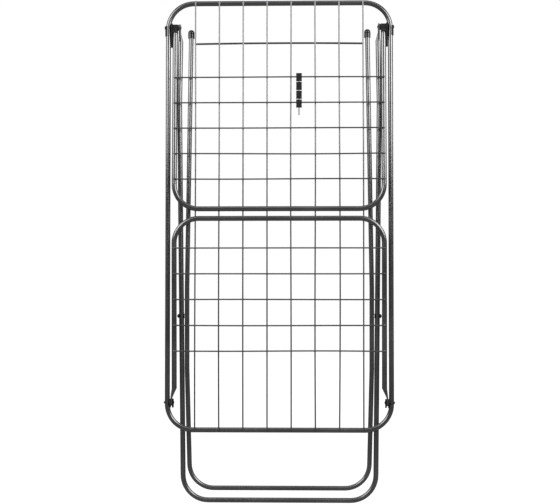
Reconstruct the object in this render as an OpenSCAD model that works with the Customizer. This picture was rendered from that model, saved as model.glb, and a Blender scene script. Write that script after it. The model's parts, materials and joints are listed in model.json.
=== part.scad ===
// Winged clothes airer, folded flat.
// X runs across the airer, Z runs up, and the drying surface faces -Y.
// The origin is the centre of the top rail, by which the folded airer hangs on a hook.
// The deck lies in the plane Y = 0. The two wings fold in front of it and the legs behind it.

/* [Deck] */
// Width between the centre lines of the deck's side tubes
deck_w = 548; // [460:1:720]
// Height between the centre lines of the deck's end rails
deck_h = 1050; // [980:1:1300]
// Bend radius of the deck's corners, on the centre line
deck_bend_r = 63.5; // [40:0.5:66]
// Number of long wires across the deck
deck_wire_count = 8; // [4:1:12]
// Distance between two long wires
deck_wire_pitch = 58.9; // [30:0.1:62]
// Depth of the deck's cross wire below the top rail
cross_wire_drop = 101.5; // [80:0.1:110]
// Rise of the cross wire's slight bow at its middle
cross_wire_bow = 1.6; // [0.5:0.1:5]

/* [Tubes and wires] */
// Outer radius of the deck, wing and outer leg tubes
tube_r = 6.25; // [5:0.05:7]
// Outer radius of the inner leg's slimmer tube
slim_r = 5.75; // [4:0.05:6]
// Wall of every tube
wall = 0.9; // [0.6:0.1:1.6]
// Radius of the drying wires
wire_r = 1.75; // [1:0.05:2]
// Radius of the cross wire
cross_wire_r = 2.4; // [1.2:0.1:2.6]

/* [Wings] */
// Distance from a deck side tube in to a wing's side tube, between centre lines
wing_inset = 17; // [14:0.5:59]
// Length of a wing, from its hinge to its end tube
wing_len = 450; // [380:1:458]
// Bend radius of a wing's corners
wing_bend_r = 60; // [40:1:90]
// Number of wires on a wing
wing_wire_count = 5; // [2:1:5]
// Distance from the hinge to a wing's first wire
wing_first_wire = 126; // [110:0.5:140]
// Distance between two wires of a wing
wing_wire_pitch = 62.9; // [30:0.1:64]
// How far a wing wire runs past the centre line of its side tube
wing_wire_over = 2; // [0:0.1:6]

/* [Hinges] */
// Depth of the upper hinge axis below the top rail
upper_hinge_drop = 60; // [59:0.5:70]
// Height of the lower hinge axis above the bottom rail
lower_hinge_rise = 67; // [60:0.5:80]
// Radius of the hinge pins and rivets
pin_r = 2.5; // [2:0.1:3]
// Radius of a flattened tube eye
eye_r = 8.4; // [7:0.1:10]
// Thickness of a flattened tube eye
eye_t = 4.4; // [3:0.1:5]
// Length of the flat strap below an eye
strap_len = 12; // [10:0.5:16]
// Distance from the eye to the full round tube
flat_len = 34; // [24:1:50]
// Radius of the moulded hinge block around its pin
block_r = 11; // [9:0.1:13]
// Length of the block's tongue below its pin
tongue_len = 46; // [25:1:60]
// Radius of the tongue's rounded tip
tongue_tip_r = 3.4; // [2:0.1:5]
// Wall of the block where it wraps the deck tube
saddle_wall = 1.7; // [1.2:0.1:2.5]
// Height of the block where it wraps the deck tube
saddle_h = 26; // [16:1:34]
// Thickness of the cheeks on the lower wing's eyes
cheek_t = 3.6; // [2:0.1:4.5]
// Their length along the wing
cheek_len = 22; // [18:0.5:26]
// How far they reach past the hinge axis
cheek_tail = 13; // [9:0.5:16]

/* [Outer leg] */
// Distance from a wing's side tube in to the outer leg at its hinge, between centre lines
outer_top_inset = 13.4; // [11:0.1:57]
// How far the outer leg swells out at its widest place
outer_swell = 2.6; // [0:0.1:3]
// Distance from the hinge to the outer leg's widest place
outer_swell_at = 190; // [150:1:260]
// How far the outer leg narrows from its widest place to its foot
outer_narrow = 10.6; // [0:0.1:20]
// Length of the outer leg, from its hinge to its foot tube
outer_len = 1162.6; // [1100:0.1:1400]
// Bend radius of the outer leg's foot corners
outer_bend_r = 62; // [40:1:80]

/* [Inner leg] */
// Distance from the outer leg in to the inner leg, between centre lines at their tops
inner_cap_inset = 26.3; // [21:0.1:32]
// Side gap between the two legs where they cross
scissor_gap = 1.25; // [1:0.05:2]
// Distance from the hinge to the scissor pivot
scissor_at = 712; // [600:1:760]
// Length of the inner leg beyond the scissor pivot
inner_lower_len = 421; // [380:1:430]
// Width lost on each side from the scissor pivot to the inner leg's foot
inner_narrow = 8.4; // [4:0.1:12]
// Bend radius of the inner leg's foot corners
inner_bend_r = 60; // [40:1:70]
// Distance from the upper hinge to the centre of the inner leg's caps
cap_drop = 13.5; // [12:0.5:30]
// Radius of the caps
cap_r = 8; // [6.5:0.1:8]
// Height of the sleeve under a cap
ferrule_h = 10.5; // [9:0.5:20]

/* [Hanger holder] */
// Distance of the hanger holder from the middle of the wing
holder_x = 49; // [40:1:70]
// Width of a grip
grip_w = 14; // [8:0.5:18]
// Length of a grip along its rod
grip_h = 18.6; // [14:0.1:18.8]
// Distance from one grip to the next
grip_pitch = 21.8; // [19:0.1:24]
// Depth of a grip, front to back
grip_d = 9.6; // [8:0.1:10]
// Length of the holder's rod
holder_len = 103; // [96:1:120]
// Radius of the holder's rod
holder_rod_r = 1.6; // [1:0.1:1.8]

/* [Clearances] */
// Gap between welded wires and tubes
weld_gap = 0.02; // [0.01:0.01:0.05]
// Gap left between folded leaves
leaf_gap = 0.5; // [0.3:0.1:1.5]
// Radial clearance of a pin in its hole
pin_gap = 0.05; // [0.02:0.01:0.1]
// Side gap between neighbours on a hinge pin
side_gap = 0.3; // [0.15:0.05:0.5]

/* [Hidden] */
round_fn = 64;
$fn = round_fn;

// Colours of the coated steel, the bright rivets and the moulded plastic
coat = "#4b4b4d";
wire_coat = "#77777a";
bright = "#9a9a9c";
plastic = "#161617";

// Depths below the top rail
lower_hinge_drop = deck_h - lower_hinge_rise;

// Faces of the deck's side tube, and the front of the deck's wires
side_x = deck_w / 2;
side_in = side_x - tube_r;
side_out = side_x + tube_r;
rail_half = side_x - deck_bend_r - 2;
deck_wire_y = -(tube_r + weld_gap + wire_r);
deck_front = -deck_wire_y + wire_r;
cross_wire_y = deck_wire_y + wire_r + weld_gap + cross_wire_r;
cross_wire_half = (deck_wire_count - 1) / 2 * deck_wire_pitch + wire_r;

// The wings tilt forward until their end tubes clear the deck's wires,
// and the legs tilt back until they clear the deck's bottom rail
wing_tilt = asin((deck_front + leaf_gap + tube_r) / wing_len);
leg_tilt = asin((2 * tube_r + leaf_gap) / (deck_h - upper_hinge_drop));

// Wing tubes and wires
wing_x = deck_w / 2 - wing_inset;
wing_out = wing_x + tube_r;
wing_in = wing_x - tube_r;
wing_wire_y = -(tube_r + weld_gap + wire_r);

// Parts stacked along the upper hinge pin, from the deck tube inwards
knuckle_w = 2 * tube_r - 0.1;
knuckle_start = eye_r + 1;
outer_eye_x = wing_in - 3.05 - eye_t / 2;
washer_t = wing_in + 0.05 - (outer_eye_x + eye_t / 2) - 2 * side_gap;
pin_head_r = 4.3;
pin_head_h = 1.5;
hole_r = pin_r + pin_gap;

// Parts stacked along the lower hinge rivet
spacer_t = 2.2;
spacer_hug = 2.2;
thin_eye_t = 3.2;
lower_eye_x = side_in - spacer_t - side_gap / 2 - thin_eye_t / 2;
cheek_in = lower_eye_x - thin_eye_t / 2 - weld_gap - cheek_t;
rivet_head_r = 3.4;

// Outer leg: straight tubes meeting in slight bends
outer_top_x = wing_x - outer_top_inset;
outer_swell_x = outer_top_x + outer_swell;
outer_foot_x = outer_swell_x - outer_narrow;
outer_slope = outer_narrow / (outer_len - outer_swell_at);
outer_scissor_x = outer_swell_x - outer_slope * (scissor_at - outer_swell_at);
scissor_seat = 0.1;
scissor_washer_t = scissor_gap - scissor_seat - 0.45;
soft_bend_r = 300;
bend_lap = 0.1;
bend_slim = 0.02;

// Inner leg, measured from the centre of its caps
inner_cap_x = outer_top_x - inner_cap_inset;
inner_scissor_x = outer_scissor_x - tube_r - scissor_gap - slim_r;
inner_upper_len = scissor_at - cap_drop;
inner_len = inner_upper_len + inner_lower_len;
inner_foot_x = inner_scissor_x - inner_narrow;
bow_above = 72;
bow_below = 128;
cap_gap = 0.12;
ferrule_top = 2.5;
slim_start = cap_r + 1.2;

// Hanger holder
holder_top = wing_first_wire - grip_h / 2 + 1.2;
holder_y = wing_wire_y - wire_r - weld_gap - holder_rod_r;

// ---- Helpers ----

function unit(v) = v / norm(v);
function turn(a, b) = atan2(a[0] * b[1] - a[1] * b[0], a[0] * b[0] + a[1] * b[1]);
// Distance from a corner to where its bend starts
function setback(p, r, i) = i <= 0 || i >= len(p) - 1 ? 0
    : r[i] * tan(abs(turn(p[i] - p[i - 1], p[i + 1] - p[i])) / 2);

// Segments of a full turn that give an arc of this angle at least 16 of its own
function arc_fn(angle) = max(round_fn, ceil(16 * 360 / angle));

// Round bar along a flat path of [x, z] corners, each with its own bend radius.
// The straight lengths run a little way into the bends, which are drawn a hair slimmer.
module bent_bar(p, r, bar_r) {
    last = len(p) - 1;
    for (i = [0 : last - 1]) {
        way = unit(p[i + 1] - p[i]);
        from = p[i] + way * (setback(p, r, i) - (i > 0 ? bend_lap : 0));
        to = p[i + 1] - way * (setback(p, r, i + 1) - (i + 1 < last ? bend_lap : 0));
        translate([from[0], 0, from[1]])
            rotate([0, atan2(way[0], way[1]), 0])
                cylinder(h = norm(to - from), r = bar_r);
    }
    for (i = [1 : 1 : last - 1]) {
        way = unit(p[i] - p[i - 1]);
        bend = turn(way, p[i + 1] - p[i]);
        side = [-way[1], way[0]] * sign(bend);
        centre = p[i] - way * setback(p, r, i) + side * r[i];
        translate([centre[0], 0, centre[1]])
            rotate([90, 0, 0])
                rotate([0, 0, atan2(-side[1], -side[0]) + min(bend, 0)])
                    rotate_extrude(angle = abs(bend), $fn = arc_fn(abs(bend)))
                        translate([r[i], 0])
                            circle(r = bar_r - bend_slim, $fn = round_fn);
    }
}

// Tube along the same kind of path
module bent_tube(p, r, bar_r) {
    difference() {
        bent_bar(p, r, bar_r);
        bent_bar(p, r, bar_r - wall);
    }
}

// Round bar along X between two places
module bar_x(x0, x1, r) {
    translate([x0, 0, 0])
        rotate([0, 90, 0])
            cylinder(h = x1 - x0, r = r);
}

// Domed head whose flat side is at x and which rises outwards by h
module dome_x(x, r, h) {
    ball = (r * r + h * h) / (2 * h);
    translate([x, 0, 0])
        rotate([0, 90, 0])
            rotate_extrude()
                intersection() {
                    translate([0, h - ball])
                        circle(r = ball);
                    square([r, h]);
                }
}

// Plate in the YZ plane with a large round end at the axis and a small one below it
module tapered_plate(x0, x1, r1, r2, drop) {
    translate([x0, 0, 0])
        rotate([90, 0, 90])
            linear_extrude(x1 - x0)
                hull() {
                    circle(r = r1, $fn = 48);
                    translate([0, -drop])
                        circle(r = r2, $fn = 32);
                }
}

// Leaning bore, drawn upwards, that clears the deck tube for a depth past the start of its bend
module bend_bore(depth) {
    deep = max(depth, 1);
    rotate([0, -asin(deep / (2 * deck_bend_r)), 0])
        cylinder(h = 2 * deep, r = tube_r + weld_gap + deep * deep / (8 * deck_bend_r) + 0.1);
}

// The same child on the right side and, mirrored, on the left
module side(right) {
    if (right)
        children();
    else
        mirror([1, 0, 0])
            children();
}

// Places of the moving groups
module at_upper_hinge() {
    translate([0, 0, -upper_hinge_drop])
        children();
}
module at_lower_hinge() {
    translate([0, 0, -lower_hinge_drop])
        children();
}
module on_upper_wing() {
    at_upper_hinge()
        rotate([-wing_tilt, 0, 0])
            children();
}
module on_lower_wing() {
    at_lower_hinge()
        rotate([wing_tilt, 0, 0])
            mirror([0, 0, 1])
                children();
}
module on_legs() {
    at_upper_hinge()
        rotate([leg_tilt, 0, 0])
            children();
}
module at_caps() {
    on_legs()
        translate([0, 0, -cap_drop])
            children();
}

// Tube end pressed flat: an eye at the hinge axis, a short strap, then a swelling to the full tube
module flat_end(eye_x, thick, tube_x) {
    bar_x(eye_x - thick / 2, eye_x + thick / 2, eye_r);
    translate([eye_x - thick / 2, -eye_r, -strap_len])
        cube([thick, 2 * eye_r, strap_len]);
    hull() {
        translate([eye_x - thick / 2 + 0.1, -eye_r + 0.1, -strap_len - 1])
            cube([thick - 0.2, 2 * eye_r - 0.2, 2]);
        translate([tube_x, 0, -flat_len - 2])
            cylinder(h = 1, r = tube_r - 0.05, $fn = 32);
    }
}

// ---- Deck ----

// Closed loop of round bar, drawn from the middle of the top rail
module deck_frame() {
    path = [[-rail_half, -deck_h], [-side_x, -deck_h], [-side_x, 0],
            [side_x, 0], [side_x, -deck_h], [rail_half, -deck_h]];
    color(coat)
        difference() {
            bent_tube(path, [0, deck_bend_r, deck_bend_r, deck_bend_r, deck_bend_r, 0], tube_r);
            for (s = [-1, 1], drop = [upper_hinge_drop, lower_hinge_drop])
                translate([s * side_x, 0, -drop])
                    bar_x(-tube_r - 1, tube_r + 1, hole_r);
        }
}

module deck_bottom_rail() {
    color(coat)
        translate([0, 0, -deck_h])
            difference() {
                bar_x(weld_gap - rail_half, rail_half - weld_gap, tube_r);
                bar_x(-rail_half, rail_half, tube_r - wall);
            }
}

module deck_wires() {
    end = tube_r - 1;
    color(wire_coat)
        for (i = [0 : deck_wire_count - 1])
            translate([(i - (deck_wire_count - 1) / 2) * deck_wire_pitch, deck_wire_y, -deck_h - end])
                cylinder(h = deck_h + 2 * end, r = wire_r);
}

// The cross wire is one shallow arc behind the long wires
module deck_cross_wire() {
    arc_r = (cross_wire_half * cross_wire_half + cross_wire_bow * cross_wire_bow) / (2 * cross_wire_bow);
    half_angle = asin(cross_wire_half / arc_r);
    color(coat)
        translate([0, cross_wire_y, -cross_wire_drop + cross_wire_bow - arc_r])
            rotate([90, 0, 0])
                rotate([0, 0, 90 - half_angle])
                    rotate_extrude(angle = 2 * half_angle, $fn = arc_fn(2 * half_angle))
                        translate([arc_r, 0])
                            circle(r = cross_wire_r, $fn = round_fn);
}

// ---- Upper hinge ----

// Moulded block: an open clip round the deck tube, a round cheek at the pin and a long tongue
module upper_hinge_block(right) {
    cheek_x = wing_out + side_gap;
    clip_r = tube_r + saddle_wall;
    bore_r = tube_r + weld_gap;
    slot_in = 4.4;
    slot_out = 3.2;
    lip_lean = 38;
    clip_over = 5;
    bend_at = upper_hinge_drop - deck_bend_r;
    color(plastic)
        side(right)
            at_upper_hinge()
                difference() {
                    union() {
                        tapered_plate(cheek_x, side_in - 0.5, block_r, tongue_tip_r, tongue_len);
                        translate([side_x, 0, clip_over - saddle_h])
                            cylinder(h = saddle_h, r = clip_r);
                    }
                    translate([side_x, 0, -saddle_h])
                        cylinder(h = 2 * saddle_h, r = bore_r);
                    translate([side_x, 0, bend_at])
                        bend_bore(block_r - bend_at);
                    translate([side_x - slot_in, -clip_r - 4, -saddle_h])
                        cube([slot_in + slot_out, clip_r + 4, 2 * saddle_h]);
                    translate([side_x + slot_out / 2, -clip_r - 1, clip_over])
                        rotate([0, lip_lean, 0])
                            cube([2 * clip_r, clip_r, saddle_h]);
                    bar_x(cheek_x - 1, side_out + saddle_wall + 1, hole_r);
                }
}

module upper_hinge_pin(right) {
    inner = outer_eye_x - eye_t / 2 - side_gap;
    outer = side_out + saddle_wall + side_gap;
    color(bright)
        side(right)
            at_upper_hinge() {
                bar_x(inner - 0.01, outer + 0.01, pin_r);
                dome_x(outer, pin_head_r, pin_head_h);
                mirror([1, 0, 0])
                    dome_x(-inner, pin_head_r, pin_head_h);
            }
}

module upper_hinge_washer(right) {
    x0 = outer_eye_x + eye_t / 2 + side_gap;
    color(plastic)
        side(right)
            at_upper_hinge()
                difference() {
                    bar_x(x0, x0 + washer_t, eye_r - 1);
                    bar_x(x0 - 1, x0 + washer_t + 1, hole_r);
                }
}

// ---- Lower hinge ----

// Moulded saddle between the deck's tube and the wing's eye, hollowed to hug the tube
module lower_hinge_spacer(right) {
    reach = 13;
    end_r = 6;
    bend_below = lower_hinge_rise - deck_bend_r;
    color(plastic)
        side(right)
            at_lower_hinge()
                difference() {
                    tapered_plate(side_in - spacer_t, side_in + spacer_hug, 9, end_r, reach - end_r);
                    translate([side_x, 0, -40])
                        cylinder(h = 80, r = tube_r + weld_gap);
                    translate([side_x, 0, -bend_below])
                        mirror([0, 0, 1])
                            bend_bore(reach - bend_below);
                    bar_x(side_in - spacer_t - 1, side_in + spacer_hug + 1, hole_r);
                }
}

module lower_hinge_rivet(right) {
    inner = cheek_in - side_gap;
    color(bright)
        side(right)
            at_lower_hinge() {
                bar_x(inner - 0.01, side_out + 0.06, pin_r);
                dome_x(side_out + 0.05, rivet_head_r, 2.6);
                mirror([1, 0, 0])
                    dome_x(-inner, pin_head_r, pin_head_h);
            }
}

// Moulded cheek on the inner face of the wing's eye, under the rivet's head
module lower_wing_cheek(right) {
    half_w = 5.5;
    color(plastic)
        side(right)
            on_lower_wing()
                difference() {
                    translate([0, 0, cheek_tail - half_w])
                        tapered_plate(cheek_in, cheek_in + cheek_t, half_w, half_w, cheek_len - 2 * half_w);
                    bar_x(cheek_in - 1, cheek_in + cheek_t + 1, hole_r);
                }
}

// ---- Wings ----

// Drying wires lie on the front of a wing's side tubes
module wing_wires() {
    half = wing_x + wing_wire_over;
    for (i = [0 : wing_wire_count - 1])
        translate([0, wing_wire_y, -wing_first_wire - i * wing_wire_pitch])
            bar_x(-half, half, wire_r);
}

// U of tube, from one hinge to the other, starting below the hinge axis
module wing_tube(start) {
    path = [[wing_x, -start], [wing_x, -wing_len], [-wing_x, -wing_len], [-wing_x, -start]];
    bent_tube(path, [0, wing_bend_r, wing_bend_r, 0], tube_r);
}

module upper_wing_frame() {
    color(coat)
        on_upper_wing()
            wing_tube(knuckle_start);
}

module upper_wing_wires() {
    color(wire_coat)
        on_upper_wing()
            wing_wires();
}

// Moulded end of the upper wing: a barrel on the pin, a collar and a plug in the tube
module upper_wing_knuckle(right) {
    collar_h = 13;
    plug_len = 26;
    color(plastic)
        side(right)
            on_upper_wing()
                difference() {
                    union() {
                        bar_x(wing_x - knuckle_w / 2, wing_x + knuckle_w / 2, eye_r);
                        translate([wing_x - knuckle_w / 2, -eye_r + 0.6, -collar_h])
                            cube([knuckle_w, 2 * eye_r - 1.2, collar_h]);
                        translate([wing_x, 0, -knuckle_start - plug_len])
                            cylinder(h = plug_len + 1, r = tube_r - wall - 0.03);
                    }
                    translate([wing_x, 0, -knuckle_start - plug_len])
                        difference() {
                            cylinder(h = plug_len + 0.03, r = tube_r + 0.03);
                            cylinder(h = plug_len + 1, r = tube_r - wall - 0.03);
                        }
                    bar_x(wing_in - 1, wing_out + 1, hole_r);
                }
}

module lower_wing_frame() {
    color(coat)
        on_lower_wing()
            difference() {
                union() {
                    wing_tube(flat_len);
                    for (right = [false, true])
                        side(right)
                            flat_end(lower_eye_x, thin_eye_t, wing_x);
                }
                for (right = [false, true])
                    side(right)
                        bar_x(lower_eye_x - thin_eye_t, lower_eye_x + thin_eye_t, hole_r);
            }
}

module lower_wing_wires() {
    color(wire_coat)
        on_lower_wing()
            wing_wires();
}

// ---- Hanger holder on the upper wing ----

module on_holder() {
    on_upper_wing()
        translate([holder_x, holder_y, -holder_top])
            children();
}

module hanger_rod() {
    color(coat)
        on_holder()
            translate([0, 0, -holder_len])
                cylinder(h = holder_len, r = holder_rod_r);
}

// One grip: a rounded block threaded on the rod, cut away where a wing wire passes
module hanger_grip(index) {
    corner = 2;
    groove = 1.2;
    wire_at = holder_y - wing_wire_y;
    color(plastic)
        on_holder()
            translate([0, 0, -index * grip_pitch])
                difference() {
                    translate([0, 0, -grip_h])
                        linear_extrude(grip_h) {
                            square([grip_w - 2 * corner, grip_d], center = true);
                            square([grip_w, grip_d - 2 * corner], center = true);
                            for (sx = [-1, 1], sy = [-1, 1])
                                translate([sx * (grip_w / 2 - corner), sy * (grip_d / 2 - corner)])
                                    circle(r = corner);
                        }
                    translate([0, 0, -grip_h - 1])
                        cylinder(h = grip_h + 2, r = holder_rod_r + 0.03);
                    for (i = [0 : wing_wire_count - 1])
                        translate([0, -wire_at, holder_top + index * grip_pitch
                                - wing_first_wire - i * wing_wire_pitch])
                            bar_x(-grip_w, grip_w, wire_r + 0.05);
                    for (sx = [-1, 1], z = [-grip_h / 3, -2 * grip_h / 3])
                        translate([sx * grip_w / 2, 0, z])
                            rotate([90, 0, 0])
                                cylinder(h = grip_d + 2, r = groove, center = true);
                }
}

// ---- Outer leg ----

module outer_leg_frame() {
    path = [[outer_top_x, -flat_len], [outer_swell_x, -outer_swell_at], [outer_foot_x, -outer_len],
        [-outer_foot_x, -outer_len], [-outer_swell_x, -outer_swell_at], [-outer_top_x, -flat_len]];
    bends = [0, soft_bend_r, outer_bend_r, outer_bend_r, soft_bend_r, 0];
    color(coat)
        on_legs()
            difference() {
                union() {
                    bent_tube(path, bends, tube_r);
                    for (right = [false, true])
                        side(right)
                            flat_end(outer_eye_x, eye_t, outer_top_x);
                }
                for (right = [false, true])
                    side(right) {
                        bar_x(outer_eye_x - eye_t, outer_eye_x + eye_t, hole_r);
                        translate([0, 0, -scissor_at])
                            bar_x(outer_scissor_x - 2 * tube_r, outer_scissor_x + 2 * tube_r, hole_r);
                    }
            }
}

module at_scissor(right) {
    side(right)
        on_legs()
            translate([outer_scissor_x, 0, -scissor_at])
                children();
}

// The pin ends at the washer, short of the inner leg
module scissor_pin(right) {
    color(bright)
        at_scissor(right)
            bar_x(-tube_r - scissor_seat - scissor_washer_t, tube_r + 1, pin_r);
}

module scissor_washer(right) {
    color(plastic)
        at_scissor(right)
            difference() {
                bar_x(-tube_r - scissor_seat - scissor_washer_t, -tube_r - scissor_seat, 6);
                bar_x(-tube_r - 3, 0, hole_r);
            }
}

module scissor_cap(right) {
    color(plastic)
        at_scissor(right)
            difference() {
                dome_x(tube_r + scissor_seat, 5.3, 4.6);
                bar_x(tube_r - 1, tube_r + 1.05, hole_r);
            }
}

// ---- Inner leg ----

module inner_leg_frame() {
    straight = (inner_scissor_x - inner_cap_x) / inner_upper_len;
    above_x = inner_scissor_x - straight * bow_above / 4;
    below_x = inner_scissor_x - straight * bow_below / 3;
    path = [[inner_cap_x + straight * slim_start, -slim_start],
        [above_x, -inner_upper_len + bow_above], [below_x, -inner_upper_len - bow_below],
        [inner_foot_x, -inner_len], [-inner_foot_x, -inner_len],
        [-below_x, -inner_upper_len - bow_below], [-above_x, -inner_upper_len + bow_above],
        [-inner_cap_x - straight * slim_start, -slim_start]];
    bends = [0, soft_bend_r, soft_bend_r, inner_bend_r, inner_bend_r, soft_bend_r, soft_bend_r, 0];
    color(coat)
        at_caps()
            difference() {
                bent_tube(path, bends, slim_r);
                for (right = [false, true])
                    side(right)
                        translate([0, 0, -inner_upper_len])
                            bar_x(inner_scissor_x - 2 * slim_r, inner_scissor_x + 2 * slim_r, hole_r);
            }
}

// Sleeve that carries the cap on the tube's end, hollowed above for the cap's ball
module inner_leg_ferrule(right) {
    straight = (inner_scissor_x - inner_cap_x) / inner_upper_len;
    color(plastic)
        side(right)
            at_caps()
                translate([inner_cap_x, 0, 0])
                    difference() {
                        translate([0, 0, -ferrule_top - ferrule_h])
                            cylinder(h = ferrule_h, r = cap_r);
                        sphere(r = cap_r + cap_gap);
                        rotate([0, -atan(straight), 0])
                            translate([0, 0, -2 * ferrule_h - slim_start])
                                cylinder(h = 2 * ferrule_h + 0.03, r = slim_r + 0.03);
                    }
}

module inner_leg_cap(right) {
    color(plastic)
        side(right)
            at_caps()
                translate([inner_cap_x, 0, 0])
                    sphere(r = cap_r);
}

deck_frame();
deck_bottom_rail();
deck_wires();
deck_cross_wire();
upper_hinge_block(false);  // upper_hinge_block_left
upper_hinge_block(true);  // upper_hinge_block_right
upper_hinge_pin(false);  // upper_hinge_pin_left
upper_hinge_pin(true);  // upper_hinge_pin_right
upper_hinge_washer(false);  // upper_hinge_washer_left
upper_hinge_washer(true);  // upper_hinge_washer_right
lower_hinge_spacer(false);  // lower_hinge_spacer_left
lower_hinge_spacer(true);  // lower_hinge_spacer_right
lower_hinge_rivet(false);  // lower_hinge_rivet_left
lower_hinge_rivet(true);  // lower_hinge_rivet_right
upper_wing_frame();
upper_wing_wires();
upper_wing_knuckle(false);  // upper_wing_knuckle_left
upper_wing_knuckle(true);  // upper_wing_knuckle_right
hanger_rod();
hanger_grip(0);  // hanger_grip_1
hanger_grip(1);  // hanger_grip_2
hanger_grip(2);  // hanger_grip_3
hanger_grip(3);  // hanger_grip_4
lower_wing_frame();
lower_wing_wires();
lower_wing_cheek(false);  // lower_wing_cheek_left
lower_wing_cheek(true);  // lower_wing_cheek_right
outer_leg_frame();
scissor_pin(false);  // scissor_pin_left
scissor_pin(true);  // scissor_pin_right
scissor_cap(false);  // scissor_cap_left
scissor_cap(true);  // scissor_cap_right
scissor_washer(false);  // scissor_washer_left
scissor_washer(true);  // scissor_washer_right
inner_leg_frame();
inner_leg_ferrule(false);  // inner_leg_ferrule_left
inner_leg_ferrule(true);  // inner_leg_ferrule_right
inner_leg_cap(false);  // inner_leg_cap_left
inner_leg_cap(true);  // inner_leg_cap_right
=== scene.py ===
# %% [markdown]
# A winged clothes airer of bent steel tube and drawn wire, folded flat and held upright.
# The tubes, wires, hinges and caps already exist as a fixed frame of named nodes. This
# lesson loads them, gives each a finish, and adds what a welder and a moulder leave
# behind: wires that are never quite straight, weld pads and the line where a mould parts.

# %% Load the frame
import json
import math

import bpy
import numpy as np
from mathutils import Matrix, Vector


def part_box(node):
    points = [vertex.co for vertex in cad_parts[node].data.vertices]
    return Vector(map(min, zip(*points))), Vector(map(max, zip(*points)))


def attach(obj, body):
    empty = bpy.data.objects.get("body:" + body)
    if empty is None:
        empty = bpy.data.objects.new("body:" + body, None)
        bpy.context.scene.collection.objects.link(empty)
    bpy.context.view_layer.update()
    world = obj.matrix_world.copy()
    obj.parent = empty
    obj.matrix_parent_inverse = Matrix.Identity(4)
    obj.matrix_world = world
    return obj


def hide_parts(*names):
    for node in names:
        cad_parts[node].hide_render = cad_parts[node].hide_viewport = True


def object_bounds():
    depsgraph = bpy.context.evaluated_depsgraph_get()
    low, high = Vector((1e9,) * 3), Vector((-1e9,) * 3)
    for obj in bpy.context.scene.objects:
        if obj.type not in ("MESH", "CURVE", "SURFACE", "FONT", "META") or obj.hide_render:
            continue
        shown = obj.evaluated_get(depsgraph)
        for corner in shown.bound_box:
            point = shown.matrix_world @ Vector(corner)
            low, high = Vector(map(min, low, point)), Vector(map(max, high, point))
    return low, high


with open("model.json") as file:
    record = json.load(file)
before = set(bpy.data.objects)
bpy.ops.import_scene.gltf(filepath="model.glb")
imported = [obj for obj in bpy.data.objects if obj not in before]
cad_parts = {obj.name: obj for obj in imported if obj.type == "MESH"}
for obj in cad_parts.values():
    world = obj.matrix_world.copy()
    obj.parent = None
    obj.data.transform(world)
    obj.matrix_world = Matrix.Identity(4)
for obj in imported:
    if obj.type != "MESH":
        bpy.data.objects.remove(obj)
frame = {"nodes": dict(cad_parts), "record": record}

scene = bpy.context.scene
cad_low, cad_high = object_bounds()
nodes = frame["nodes"]
print("nodes", len(nodes), "box", [round(v, 4) for v in (*cad_low, *cad_high)])

# %% [markdown]
# The camera stands 3 m in front of the airer, a little right of its middle and a little
# below its middle height, with a lens long enough to keep the rails parallel. A wide
# lens close up would splay the side tubes. The camera is turned by two plain angles, so
# that both can be read off and changed.

# %% Camera
tilt_up = math.radians(2.024)
turn_left = math.radians(1.426)
camera = bpy.data.objects.new("camera", bpy.data.cameras.new("camera"))
scene.collection.objects.link(camera)
camera.location = (0.0767, -3.0, -0.7211)
camera.rotation_euler = (math.pi / 2 + tilt_up, 0, turn_left)
camera.data.sensor_width = 36
camera.data.lens = 78.672857
camera.data.clip_end = 60
scene.camera = camera
print("lens mm", round(camera.data.lens, 1))

# %% [markdown]
# Dark glossy tube shows its shape only by what it reflects. Two broad soft boxes stand
# in front of the airer, one to each side, and reach from just below its top rail to well
# above it. From the camera, only the upper half of an upright tube mirrors them, so the
# tubes carry bright stripes at the top and go quiet lower down. A dim panel overhead
# gives the level rails a pale top edge. One strong lamp at the front would be simpler,
# but it would flatten every tube to an even grey.

# %% Lights
scene.view_settings.view_transform = "Standard"
lamp_table = (  # name, place, the point it faces, width and height in metres, watts
    ("left_wall", (-1.65, -1.3, 0.62), (0, 0, 0.45), 1.9, 1.5, 25),
    ("right_wall", (1.65, -1.3, 0.62), (0, 0, 0.45), 1.9, 1.5, 31),
    ("overhead_panel", (0, -1.2, 2.6), (0, 0, -0.6), 3.6, 2.0, 12),
)


def soft_box(name, place, target, width, height, power):
    """A rectangular lamp at place that faces target, width by height in metres."""
    lamp = bpy.data.lights.new(name, "AREA")
    lamp.shape = "RECTANGLE"
    lamp.size, lamp.size_y, lamp.energy = width, height, power
    holder = bpy.data.objects.new(name, lamp)
    scene.collection.objects.link(holder)
    holder.location = place
    aim = Vector(target) - Vector(place)
    holder.rotation_euler = aim.to_track_quat("-Z", "Y").to_euler()


for row in lamp_table:
    soft_box(*row)

# %% [markdown]
# Backdrop, floor and finishes are all built from shader nodes, so five short helpers come
# first: two add a node and feed its sockets, and the others are the maths, the ramp and
# the colour mix that every effect needs. Nodes could be wired by hand in the editor, but
# a script of plain calls can be read from top to bottom.

# %% Node helpers
WHITE = (1, 1, 1, 1)


def feed(tree, socket, value):
    """Links a socket to the output given as value, or sets it to a plain value."""
    if isinstance(value, bpy.types.NodeSocket):
        tree.links.new(value, socket)
    else:
        socket.default_value = value


def put(tree, kind, settings=None, **feeds):
    """Adds a node. settings are its own options. feeds are its sockets, by name with
    underscores for spaces, or by number as i0, i1 and so on."""
    node = tree.nodes.new("ShaderNode" + kind)
    for option, value in (settings or {}).items():
        setattr(node, option, value)
    for label, value in feeds.items():
        by_number = label[0] == "i" and label[1:].isdigit()
        feed(tree, node.inputs[int(label[1:]) if by_number else label.replace("_", " ")], value)
    return node


def maths(tree, operation, a, b=0.0, c=0.0):
    """One Math node's result; a, b and c are links or numbers."""
    return put(tree, "Math", {"operation": operation}, i0=a, i1=b, i2=c).outputs[0]


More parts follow.
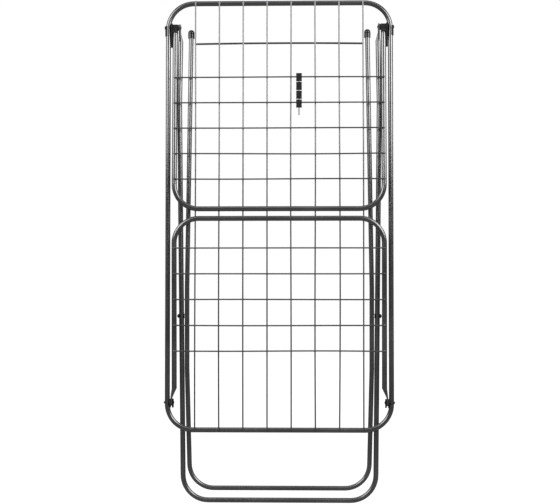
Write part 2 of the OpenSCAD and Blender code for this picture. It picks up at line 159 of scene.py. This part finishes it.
def ramp(tree, value, low, high, to_low=0.0, to_high=1.0):
    """Maps value from low..high to to_low..to_high, held at both ends."""
    return put(tree, "MapRange", Value=value, From_Min=low, From_Max=high,
               To_Min=to_low, To_Max=to_high).outputs["Result"]


def mixed(tree, share, first, second):
    """A colour between first and second by share."""
    return put(tree, "Mix", {"data_type": "RGBA"}, i0=share, i6=first, i7=second).outputs[2]


print("helpers ready")

# %% [markdown]
# The backdrop is white to the eye and grey in a reflection, and it lights the airer only
# gently, so Light Path tells the three apart. A glossy ray finds a pale backdrop behind
# the airer and a dim studio in front of it, where the camera stands. A plain white world
# would need no such care, but it would wash a dark tube out to one flat grey.

# %% White backdrop
fill_light = 0.64
studio_in_front, backdrop_behind = 0.12, 0.5

world = bpy.data.worlds.new("studio")
scene.world = world
world.use_nodes = True
tree = world.node_tree
tree.nodes.clear()
direction = put(tree, "TexCoord").outputs["Generated"]
backwards = put(tree, "SeparateXYZ", i0=direction).outputs["Y"]
mirror_light = ramp(tree, backwards, 0.2, 0.9, studio_in_front, backdrop_behind)
fill = put(tree, "Background", Color=WHITE, Strength=fill_light)
mirrored = put(tree, "Background", Color=WHITE, Strength=mirror_light)
seen = put(tree, "Background", Color=WHITE, Strength=1.0)
path = put(tree, "LightPath").outputs
reflected = maths(tree, "MAXIMUM", path["Is Glossy Ray"], path["Is Transmission Ray"])
unseen = put(tree, "MixShader", i0=reflected, i1=fill.outputs[0], i2=mirrored.outputs[0])
chosen = put(tree, "MixShader", i0=path["Is Camera Ray"], i1=unseen.outputs[0],
             i2=seen.outputs[0])
put(tree, "OutputWorld", Surface=chosen.outputs[0])
print("backdrop ready, fill", fill_light)

# %% [markdown]
# The floor is one pale sheet. It lies a quarter of a metre below the feet, because the
# folded airer hangs by its top rail and its lower wing swings down past them.

# %% Floor
floor_reach = 12.0
floor_drop = 0.25
level = cad_low.z - floor_drop
floor_mesh = bpy.data.meshes.new("floor")
corners = [(x * floor_reach, y * floor_reach, level)
           for x, y in ((-1, -1), (1, -1), (1, 1), (-1, 1))]
floor_mesh.from_pydata(corners, [], [(0, 1, 2, 3)])
floor = bpy.data.objects.new("floor", floor_mesh)
scene.collection.objects.link(floor)
print("floor at", round(level, 4))

# %% [markdown]
# To the eye the floor glows almost white, so that it meets the backdrop without a
# horizon, and only the rest of its white is lit, which is the part that keeps a soft
# shadow. To every other ray it is a dull grey sheet. White paint alone would throw light
# up under the rails and leave a grey line where it ends.

# %% Floor finish
floor_grey = (0.18, 0.18, 0.18, 1)
floor_glow = 0.95

floor_paint = bpy.data.materials.new("floor_paint")
floor_paint.use_nodes = True
tree = floor_paint.node_tree
tree.nodes.clear()
matte = put(tree, "BsdfDiffuse", Color=floor_grey)
glow = put(tree, "Emission", Color=WHITE, Strength=floor_glow)
both = put(tree, "AddShader", i0=matte.outputs[0], i1=glow.outputs[0])
to_eye = put(tree, "LightPath").outputs["Is Camera Ray"]
shown = put(tree, "MixShader", i0=to_eye, i1=matte.outputs[0], i2=both.outputs[0])
put(tree, "OutputMaterial", Surface=shown.outputs[0])
floor.data.materials.append(floor_paint)
print("floor finish", floor_paint.name)

# %% [markdown]
# Every finish on the airer is built from the same few effects, so each effect is a node
# group with named inputs and outputs, made once and placed in each material with its own
# values. The first is the sprayed and baked coat that tubes and wires wear: charcoal with
# fine metallic flakes, a faint orange-peel ripple from the spray gun, and slow drifts of
# shade where the coat ran thicker. It could be painted on an image, but noise in the
# object's own metres never repeats and never stretches round a bend.

# %% Sprayed coat group


def new_group(name, takes, gives):
    """An empty shader group with its own sockets, to take from and to give to. takes lists
    (label, kind, value); gives lists (label, kind)."""
    group = bpy.data.node_groups.new(name, "ShaderNodeTree")
    for label, kind, value in takes:
        socket = group.interface.new_socket(
            name=label, in_out="INPUT", socket_type="NodeSocket" + kind)
        socket.default_value = value
    for label, kind in gives:
        group.interface.new_socket(
            name=label, in_out="OUTPUT", socket_type="NodeSocket" + kind)
    entry = group.nodes.new("NodeGroupInput")
    exit_node = group.nodes.new("NodeGroupOutput")
    return group, entry.outputs, exit_node.inputs


group, take, give = new_group(
    "sprayed_coat",
    [("Base", "Color", (0.1, 0.1, 0.1, 1)), ("Flake", "Color", (0.3, 0.3, 0.3, 1)),
     ("Flake Share", "Float", 0.3), ("Flake Scale", "Float", 2600.0),
     ("Peel Scale", "Float", 420.0), ("Smooth", "Float", 0.25), ("Rough", "Float", 0.4)],
    [("Color", "Color"), ("Roughness", "Float"), ("Height", "Float")])
where = put(group, "TexCoord").outputs["Object"]

# Flakes: each cell has one random grey, and its cube keeps only a few of them bright.
flakes = put(group, "TexVoronoi", Vector=where, Scale=take["Flake Scale"])
flake_grey = put(group, "SeparateColor", Color=flakes.outputs["Color"]).outputs[0]
glint = maths(group, "POWER", flake_grey, 3.0)
flake_share = maths(group, "MULTIPLY", glint, take["Flake Share"])
flaked = mixed(group, flake_share, take["Base"], take["Flake"])

# Drift: a slow noise about a tenth of a metre across, for shade and for roughness.
thin_shade, thick_shade = 1.14, 0.86
drift = put(group, "TexNoise", Vector=where, Scale=9.0, Detail=3.0).outputs["Fac"]
shade = ramp(group, drift, 0.3, 0.7, thick_shade, thin_shade)
shaded = put(group, "VectorMath", {"operation": "SCALE"}, i0=flaked, Scale=shade)
span = maths(group, "SUBTRACT", take["Rough"], take["Smooth"])
dulled = maths(group, "MULTIPLY_ADD", ramp(group, drift, 0.25, 0.75), span, take["Smooth"])

# Peel: the ripple itself, with the bright flakes standing a twentieth as high.
glint_height = 0.05
peel = put(group, "TexNoise", Vector=where, Scale=take["Peel Scale"], Detail=1.5).outputs["Fac"]
rippled = maths(group, "MULTIPLY_ADD", glint, glint_height, peel)

feed(group, give["Color"], shaded.outputs[0])
feed(group, give["Roughness"], dulled)
feed(group, give["Height"], rippled)
sprayed_coat = group
print("group", sprayed_coat.name)

# %% [markdown]
# Where tubes rub, at the feet and round the hinges, the coat is scuffed: dulled, a
# little paler, and crossed by fine scratches. The mask is fine noise stretched along X,
# the way of the level rails, and it fades with the distance from a given height. Edge
# wear that follows the mesh's sharp corners would miss it, since a round tube has none.

# %% Scuff group
group, take, give = new_group(
    "scuffed_band",
    [("Height", "Float", 0.0), ("Reach", "Float", 0.05), ("Grain", "Float", 160.0)],
    [("Mask", "Float")])
where = put(group, "TexCoord").outputs["Object"]
up = put(group, "SeparateXYZ", i0=where).outputs["Z"]
away = maths(group, "ABSOLUTE", maths(group, "SUBTRACT", up, take["Height"]))
near = maths(group, "SUBTRACT", 1.0, maths(group, "DIVIDE", away, take["Reach"]))
stretched = put(group, "Mapping", {"vector_type": "POINT"}, Vector=where, Scale=(1.0, 6.0, 2.0))
scratch = put(group, "TexNoise", Vector=stretched.outputs[0], Scale=take["Grain"],
              Detail=6.0, Roughness=0.7).outputs["Fac"]
within = put(group, "Clamp", Value=near).outputs[0]
feed(group, give["Mask"], maths(group, "MULTIPLY", within, ramp(group, scratch, 0.52, 0.62)))
scuffed_band = group
print("group", scuffed_band.name)

# %% [markdown]
# The hinge blocks, spacers, grips and caps are injection moulded. Moulded plastic takes
# the mould's own skin: a fine spark-eroded grain, a little duller in patches where it
# shrank away from the steel, with pale rubs where hands and hooks meet it. Grain this
# fine would need millions of faces, so it stays in the material, as pits in a cell
# pattern.

# %% Moulded skin group
group, take, give = new_group(
    "moulded_skin",
    [("Base", "Color", (0.02, 0.02, 0.02, 1)), ("Rubbed", "Color", (0.06, 0.06, 0.06, 1)),
     ("Grain Scale", "Float", 1500.0), ("Smooth", "Float", 0.35), ("Rough", "Float", 0.55)],
    [("Color", "Color"), ("Roughness", "Float"), ("Height", "Float")])
where = put(group, "TexCoord").outputs["Object"]
pits = put(group, "TexVoronoi", Vector=where, Scale=take["Grain Scale"]).outputs["Distance"]
patch = put(group, "TexNoise", Vector=where, Scale=70.0, Detail=3.0).outputs["Fac"]
rubs = put(group, "TexNoise", Vector=where, Scale=420.0,
           Detail=5.0, Roughness=0.75).outputs["Fac"]
rub_share = ramp(group, rubs, 0.6, 0.75, 0.0, 0.5)
span = maths(group, "SUBTRACT", take["Rough"], take["Smooth"])
dulled = maths(group, "MULTIPLY_ADD", ramp(group, patch, 0.3, 0.7), span, take["Smooth"])
feed(group, give["Color"], mixed(group, rub_share, take["Base"], take["Rubbed"]))
feed(group, give["Roughness"], dulled)
feed(group, give["Height"], maths(group, "MULTIPLY_ADD", rubs, 0.5, pits))
moulded_skin = group
print("group", moulded_skin.name)

# %% [markdown]
# A finish is a material of its own: a Principled shader, fed by the groups. The tube coat
# and the wire coat are one paint, but a wire is thinner than the spray's own ripple, so
# its flakes and peel are finer, and its base is a shade darker, which is painted shade.
# The coat is nearly all metal to the light, under a thin clear layer: a plain dark paint
# would scatter an even grey, and these tubes are dark between sharp pale stripes. The
# scuffed heights are read off the feet and the pins.

# %% Finish helpers


def start_finish(name):
    """A new material with its tree and a Principled shader, ready to be fed."""
    finish = bpy.data.materials.new(name)
    finish.use_nodes = True
    tree = finish.node_tree
    tree.nodes.clear()
    shader = put(tree, "BsdfPrincipled")
    put(tree, "OutputMaterial", Surface=shader.outputs[0])
    return finish, tree, shader.inputs


def place_group(tree, group, **values):
    """Puts a node group in a material, gives its inputs, and returns its outputs."""
    return put(tree, "Group", {"node_tree": group}, **values).outputs


def bumped(tree, shader, height, depth, strength):
    """Feeds a height, as a bump depth metres deep, to the shader's normal."""
    bump = put(tree, "Bump", Strength=strength, Distance=depth, Height=height)
    feed(tree, shader["Normal"], bump.outputs[0])


def middle(*names):
    """The middle of the box round some nodes, in metres."""
    boxes = [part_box(name) for name in names]
    low = np.min([box[0] for box in boxes], axis=0)
    high = np.max([box[1] for box in boxes], axis=0)
    return [float(v) for v in (low + high) / 2]


foot_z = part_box("outer_leg_frame")[0].z
upper_hinge_z = middle("upper_hinge_pin_left", "upper_hinge_pin_right")[2]
lower_hinge_z = middle("lower_hinge_rivet_left", "lower_hinge_rivet_right")[2]
print("scuffed at", [round(z, 4) for z in (foot_z, upper_hinge_z, lower_hinge_z)])

# %% Coated steel finishes
flake_color = (0.42, 0.42, 0.42, 1)
scuff_color = (0.3, 0.3, 0.3, 1)
ripple_depth = 0.00003   # metres


def coated(name, base, flake_scale, peel_scale, scuffs):
    """The baked charcoal coat. scuffs lists (height, reach) of the scuffed bands."""
    finish, tree, shader = start_finish(name)
    coat = place_group(tree, sprayed_coat, Base=(*base, 1), Flake=flake_color, Flake_Share=0.12,
                       Flake_Scale=flake_scale, Peel_Scale=peel_scale, Smooth=0.2, Rough=0.3)
    color, dull = coat["Color"], coat["Roughness"]
    for height, reach in scuffs:
        mask = place_group(tree, scuffed_band, Height=height, Reach=reach)["Mask"]
        color = mixed(tree, maths(tree, "MULTIPLY", mask, 0.45), color, scuff_color)
        dull = maths(tree, "MULTIPLY_ADD", mask, 0.2, dull)
    feed(tree, shader["Base Color"], color)
    feed(tree, shader["Roughness"], dull)
    shader["Metallic"].default_value = 0.97
    shader["Coat Weight"].default_value = 0.4
    shader["Coat Roughness"].default_value = 0.1
    bumped(tree, shader, coat["Height"], ripple_depth, 0.5)
    return finish


tube_finish = coated("charcoal_tube", base=(0.26, 0.26, 0.263),
                     flake_scale=2600.0, peel_scale=420.0,
                     scuffs=[(foot_z, 0.05), (upper_hinge_z, 0.03), (lower_hinge_z, 0.03)])
# The wire's base is a shade darker than the tube's. This is painted shade, since both wear the
# same coat.
wire_finish = coated("charcoal_wire", base=(0.24, 0.24, 0.243),
                     flake_scale=4200.0, peel_scale=700.0, scuffs=[])
print("coats", tube_finish.name, wire_finish.name)

# %% [markdown]
# The plastics are one black in three polishes: the hinge parts are satin, the grips are
# dull with the coarsest grain, and the leg caps come from a polished mould and shine.
# One material for all three would be quicker, but black parts are told apart only by
# how they shine.

# %% Plastic finishes


def moulded(name, base, rubbed, grain, smooth, rough, coat, depth):
    """Black moulded plastic; coat is how polished its skin is, depth its grain in metres."""
    finish, tree, shader = start_finish(name)
    skin = place_group(tree, moulded_skin, Base=(*base, 1), Rubbed=(*rubbed, 1),
                       Grain_Scale=grain, Smooth=smooth, Rough=rough)
    feed(tree, shader["Base Color"], skin["Color"])
    feed(tree, shader["Roughness"], skin["Roughness"])
    shader["Coat Weight"].default_value = coat
    shader["Coat Roughness"].default_value = 0.12
    bumped(tree, shader, skin["Height"], depth, 0.6)
    return finish


hinge_finish = moulded("hinge_black", base=(0.008, 0.008, 0.0085), rubbed=(0.03, 0.03, 0.03),
                       grain=1500.0, smooth=0.42, rough=0.6, coat=0.0, depth=0.00005)
grip_finish = moulded("grip_black", base=(0.006, 0.006, 0.0065), rubbed=(0.02, 0.02, 0.02),
                      grain=1100.0, smooth=0.5, rough=0.68, coat=0.0, depth=0.00007)
cap_finish = moulded("cap_black", base=(0.006, 0.006, 0.0065), rubbed=(0.02, 0.02, 0.02),
                     grain=2400.0, smooth=0.14, rough=0.24, coat=0.8, depth=0.00002)
print("plastics", hinge_finish.name, grip_finish.name, cap_finish.name)

# %% [markdown]
# Rivets and pins are cold-headed steel with a dark zinc plate. The tool leaves fine rings
# round the axis. A ring texture would be centred on the whole object, so the rings are a
# sine of the distance from the pin's own line, which runs across the airer: a Mapping
# node moves that line to the origin and flattens X away.

# %% Rivet finish
ring_rate = 16000.0      # radians of the sine for a metre of radius: a ring every 0.39 mm
ring_depth = 0.00001     # metres
bright_plate, dull_plate = (0.2, 0.2, 0.2, 1), (0.09, 0.09, 0.092, 1)


def turned_steel(name, axis_y, axis_z):
    """Dark plated steel with tool rings round the line through (axis_y, axis_z)."""
    finish, tree, shader = start_finish(name)
    where = put(tree, "TexCoord").outputs["Object"]
    centred = put(tree, "Mapping", {"vector_type": "POINT"}, Vector=where,
                  Location=(0, -axis_y, -axis_z), Scale=(0, 1, 1)).outputs[0]
    out = put(tree, "VectorMath", {"operation": "LENGTH"}, i0=centred).outputs["Value"]
    rings = maths(tree, "SINE", maths(tree, "MULTIPLY", out, ring_rate))
    stain = put(tree, "TexNoise", Vector=where, Scale=260.0, Detail=4.0).outputs["Fac"]
    color = mixed(tree, ramp(tree, stain, 0.35, 0.7), bright_plate, dull_plate)
    feed(tree, shader["Base Color"], color)
    feed(tree, shader["Roughness"], ramp(tree, stain, 0.3, 0.7, 0.28, 0.46))
    shader["Metallic"].default_value = 1.0
    bumped(tree, shader, rings, ring_depth, 0.5)
    return finish


steel_of = {}
for pin in ("upper_hinge_pin", "lower_hinge_rivet", "scissor_pin"):
    axis_y, axis_z = middle(pin + "_left", pin + "_right")[1:]
    steel_of[pin] = turned_steel(pin + "_steel", axis_y, axis_z)
    print(pin, "axis at", round(axis_y, 4), round(axis_z, 4))

# %% [markdown]
# Each node now takes its finish by its material slot in the record. The three kinds of
# rivet share one slot, so they are told apart by name, which centres the tool rings on
# their own axis.

# %% Dress the nodes
by_slot = {"coated_tube": tube_finish, "coated_wire": wire_finish, "hinge_plastic": hinge_finish,
           "grip_plastic": grip_finish, "cap_plastic": cap_finish}
slot_of = {row["node"]: row["material_slot"] for row in frame["record"]["subparts"]}
for name, node in nodes.items():
    steel = [steel_of[pin] for pin in steel_of if name.startswith(pin)]
    node.data.materials.clear()
    node.data.materials.append(steel[0] if steel else by_slot[slot_of[name]])
print("dressed", len(nodes))

# %% [markdown]
# Every new piece is a closed grid: rows of points along it, columns round it, and one
# point at each end that closes it, which is called a pole. The helpers here join such a
# grid into faces and make an object of it. Primitives from the menu would each need
# their own cuts and joins, while one grid serves a wire, a weld and a moulding line.

# %% Grid helpers


def grid_faces(rows, columns):
    """Faces of a grid closed round its columns, with the two poles after its last point.
    Quads join each row to the next; triangles join the end rows to their poles."""
    across = np.arange(columns)
    after = (across + 1) % columns
    start = np.arange(rows - 1)[:, None] * columns
    quads = np.stack([start + across, start + after,
                      start + columns + after, start + columns + across], axis=-1)
    last = (rows - 1) * columns
    first_pole, last_pole = rows * columns, rows * columns + 1
    low = np.stack([np.full(columns, first_pole), after, across], axis=-1)
    high = np.stack([np.full(columns, last_pole), last + across, last + after], axis=-1)
    return quads.reshape(-1, 4), np.concatenate([low, high])


def make_piece(name, shapes, finish, body):
    """One smooth object from several (points, quads, triangles), riding on a body."""
    starts = np.cumsum([0] + [len(shape[0]) for shape in shapes])
    points = np.concatenate([shape[0] for shape in shapes])
    quads = np.concatenate([shape[1] + start for shape, start in zip(shapes, starts)])
    triangles = np.concatenate([shape[2] + start for shape, start in zip(shapes, starts)])
    mesh = bpy.data.meshes.new(name)
    mesh.from_pydata(points.tolist(), [], quads.tolist() + triangles.tolist())
    mesh.polygons.foreach_set("use_smooth", np.ones(len(mesh.polygons), dtype=bool))
    mesh.materials.append(finish)
    piece = bpy.data.objects.new(name, mesh)
    scene.collection.objects.link(piece)
    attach(piece, body)
    print(name, len(shapes), "shapes,", len(mesh.polygons), "faces")
    return piece


# %% [markdown]
# The frame's wires are straight rods, several to a node. Their places are read off the
# nodes rather than typed in: a node's points are sorted and cut at each gap between two
# rods, and the box of each bunch gives a rod's ends and its radius.

# %% Measure the wires
X, Y, Z = 0, 1, 2


def points_of(name):
    """All corner points of a node, one row each, in metres."""
    vertices = nodes[name].data.vertices
    flat = np.empty(len(vertices) * 3)
    vertices.foreach_get("co", flat)
    return flat.reshape(-1, 3)


def split_by(points, axis, gap):
    """Sorts points along one axis and cuts them wherever they leave a gap."""
    ordered = points[np.argsort(points[:, axis])]
    cuts = np.flatnonzero(np.diff(ordered[:, axis]) > gap) + 1
    return np.split(ordered, cuts)


def wire_lines(name, axis, gap=0.01):
    """Each wire of a node as (start, end, radius). It runs along axis, which is X or Z,
    and the wires are told apart along the other of the two."""
    lines = []
    for bunch in split_by(points_of(name), X + Z - axis, gap):
        low, high = bunch.min(axis=0), bunch.max(axis=0)
        start, end = (low + high) / 2, (low + high) / 2
        start[axis], end[axis] = low[axis], high[axis]
        lines.append((start, end, (high[Y] - low[Y]) / 2))
    return lines


deck_lines = wire_lines("deck_wires", Z)
wing_lines = {wing: wire_lines(wing + "_wires", X) for wing in ("upper_wing", "lower_wing")}
print("deck wires", len(deck_lines), "radius mm", round(deck_lines[0][2] * 1000, 3))

# %% [markdown]
# Drawn wire comes off a coil, so even after it is straightened it keeps a slow bow
# between its welds. Each wire is made again here on its own line: a round section
# carried along a path that is pinned at every weld and bows a millimetre or so between.
# A curve with a bevel would do, but a grid lets the bow and the rounded tips be one
# formula.

# %% Bowed wires
rng = np.random.default_rng(7)


def round_rod(start, end, radius, bow, toward, columns=12, rows=60):
    """A rod from start to end. The ring at t, from 0 to 1, sits at start + t (end - start)
    + bow(t) toward. Its radius is that of a quarter circle over the first and the last
    radius of length, and full between them."""
    start, end, toward = (np.asarray(v, dtype=float) for v in (start, end, toward))
    length = np.linalg.norm(end - start)
    nose = np.linspace(0.06, 1, 5) * radius / length      # five rings round each tip
    between = np.linspace(nose[-1], 1 - nose[-1], rows)[1:-1]
    t = np.concatenate([nose, between, 1 - nose[::-1]])
    edge = np.clip(np.minimum(t, 1 - t) * length / radius, 0, 1)
    ring = radius * np.sqrt(1 - (1 - edge) ** 2)
    centre_line = start + t[:, None] * (end - start) + bow(t)[:, None] * toward
    up = np.cross((end - start) / length, toward)
    angle = np.arange(columns)[:, None] * 2 * np.pi / columns
    spoke = np.cos(angle) * toward + np.sin(angle) * up
    points = centre_line[:, None, :] + ring[:, None, None] * spoke
    return np.concatenate([points.reshape(-1, 3), [start], [end]]), *grid_faces(len(t), columns)


def pinned_bow(stops, size):
    """A function of t that is 0 at every stop; each span between stops is a sine arch of
    random height plus about half as much of a double wave. Height grows with the span."""
    stops = np.asarray(stops)
    arch = rng.normal(0, size, len(stops) - 1) * np.diff(stops)
    wave = rng.normal(0, size / 2, len(stops) - 1) * np.diff(stops)

    def bow(t):
        span = np.clip(np.searchsorted(stops, t, side="right") - 1, 0, len(stops) - 2)
        u = np.clip((t - stops[span]) / (stops[span + 1] - stops[span]), 0, 1)
        return arch[span] * np.sin(np.pi * u) + wave[span] * np.sin(2 * np.pi * u)
    return bow


straight_points, _, _ = round_rod((0, 0, 0), (0, 0, 1), deck_lines[0][2], np.zeros_like, (1, 0, 0))
print("a straight metre of wire takes", len(straight_points), "points")

# %% [markdown]
# The deck's eight long wires are welded to the top rail, the bottom rail and the thicker
# cross wire behind them. The cross wire is itself a shallow arc, so its height is read
# off at each long wire's own X.

# %% Deck wires
deck_bow_size = 0.0011
top_z = 0.0              # the frame's origin is the middle of the top rail
bottom_z = middle("deck_bottom_rail")[Z]
cross_points = points_of("deck_cross_wire")
ring_x, ring_of = np.unique(np.round(cross_points[:, X], 4), return_inverse=True)
ring_z = np.bincount(ring_of, cross_points[:, Z]) / np.bincount(ring_of)
crossings = [float(np.interp(start[X], ring_x, ring_z)) for start, _, _ in deck_lines]
shapes = []
for (start, end, radius), crossing in zip(deck_lines, crossings):
    welds = (np.array([bottom_z, crossing, top_z]) - start[Z]) / (end[Z] - start[Z])
    bow = pinned_bow([0, *welds, 1], deck_bow_size)
    shapes.append(round_rod(start, end, radius, bow, (1, 0, 0), rows=90))
drawn_deck_wires = make_piece("drawn_deck_wires", shapes, wire_finish, "deck")
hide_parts("deck_wires")

# %% [markdown]
# A wing's five wires are shorter and welded only near their two ends, so they bow less,
# in one span, and up or down rather than sideways.

# %% Wing wires
wing_bow_size = 0.0007
wing_welds = (0.01, 0.99)
for wing, lines in wing_lines.items():
    shapes = []
    for start, end, radius in lines:
        bow = pinned_bow([0, *wing_welds, 1], wing_bow_size)
        shapes.append(round_rod(start, end, radius, bow, (0, 0, 1)))
    drawn = make_piece("drawn_" + wing + "_wires", shapes, wire_finish, wing)
    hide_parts(wing + "_wires")

# %% [markdown]
# Each wire is resistance welded: two electrodes squeeze it to the rail and a current
# melts a small pad of steel between them, which bulges out at both sides of the wire.
# The coat goes over it, so a weld shows as a soft swelling in the crotch of the joint.
# A swept bead would suit a seam, but here one squashed ball a weld is enough, since all
# but its rim is hidden.

# %% Weld pads on the deck


def weld_pad(centre, half_sizes, rows=7, columns=14):
    """A squashed ball: half_sizes times (cos u sin v, -cos v, -sin u sin v), poles on Y."""
    v = np.linspace(0, np.pi, rows + 2)[1:-1, None]
    u = np.arange(columns) * 2 * np.pi / columns
    ball = np.stack(np.broadcast_arrays(np.cos(u) * np.sin(v), -np.cos(v),
                                        -np.sin(u) * np.sin(v)), axis=-1)
    poles = np.array([[0, -1, 0], [0, 1, 0]])
    points = np.concatenate([ball.reshape(-1, 3), poles]) * half_sizes + centre
    return points, *grid_faces(rows, columns)


def varied(sizes):
    """The half sizes of one pad, each up to a tenth more or less, as hand-set welds vary."""
    return np.array(sizes) * rng.uniform(0.9, 1.1, 3)


rail_pad = (0.0027, 0.0011, 0.0024)
cross_pad = (0.0025, 0.0009, 0.0025)
rail_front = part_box("deck_bottom_rail")[0].y
cross_front = cross_points[:, Y].min()
pads = []
for (start, _, radius), crossing in zip(deck_lines, crossings):
    x, wire_back = start[X], start[Y] + radius
    at_rail = (wire_back + rail_front) / 2
    at_cross = (wire_back + cross_front) / 2
    for z in (top_z, bottom_z):
        pads.append(weld_pad((x, at_rail, z), varied(rail_pad)))
    pads.append(weld_pad((x, at_cross, crossing), varied(cross_pad)))
make_piece("deck_weld_pads", pads, wire_finish, "deck")

# %% [markdown]
# On the wings the wires lie in front of the side tubes and stand 2 mm past their centre
# lines, so a pad sits at the back of each wire that far in from its end.

# %% Weld pads on the wings
wing_pad = (0.0026, 0.0011, 0.0026)
wire_overhang = 0.002
for wing, lines in wing_lines.items():
    pads = []
    for start, end, radius in lines:
        for x in (start[X] + wire_overhang, end[X] - wire_overhang):
            pads.append(weld_pad((x, start[Y] + radius, start[Z]), varied(wing_pad)))
    make_piece(wing + "_weld_pads", pads, wire_finish, wing)

# %% [markdown]
# A mould opens along a plane, and where its halves meet, a hair of plastic squeezes out
# and leaves a raised line. On the leg caps it runs over the ball from front to back. It
# is a thin closed rib, half sunk in the cap, so it stands a tenth of a millimetre proud.
# A bump could draw it, but a line that catches the light has to be there when the cap is
# held in the hand. The ball and the sleeve below it are one moulding, so the line turns
# with the leg, round the ball.

# %% Parting lines on the caps
rib_width, rib_height = 0.0006, 0.00012
rib_start, rib_end = 0.05, math.pi - 0.05      # angles, just above the back and the front


def parting_rib(centre, radius, rows=40, columns=7):
    """A thin rib over a ball in the plane X = centre. Row i is at the angle a, measured from
    +Y up. Across the rib, for v from -1 to 1, it stands at radius + rib_height cos(pi v / 2),
    its two edges sink by rib_height, and the way back runs under it, a little nearer the
    centre, to close the loop."""
    v = np.linspace(-1, 1, columns)
    out = radius + np.where(np.abs(v) < 1, rib_height * np.cos(np.pi * v / 2), -rib_height)
    under = 1 - 3 * rib_height / radius
    across = np.concatenate([v, v[::-1]])[::-1] * rib_width / 2
    reach = np.concatenate([out, under * out[::-1]])[::-1]
    a = np.linspace(rib_start, rib_end, rows)[:, None]
    loop = np.stack([across + 0 * a, reach * np.cos(a), reach * np.sin(a)], axis=-1) + centre
    ends = loop[[0, -1]].mean(axis=1)
    return np.concatenate([loop.reshape(-1, 3), ends]), *grid_faces(rows, 2 * columns)


ribs = []
for side in ("left", "right"):
    low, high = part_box("inner_leg_cap_" + side)
    ball = (high.x - low.x) / 2
    centre = np.array([(low.x + high.x) / 2, (low.y + high.y) / 2, high.z - ball])
    ribs.append(parting_rib(centre, ball))
make_piece("cap_parting_lines", ribs, cap_finish, "inner_leg")
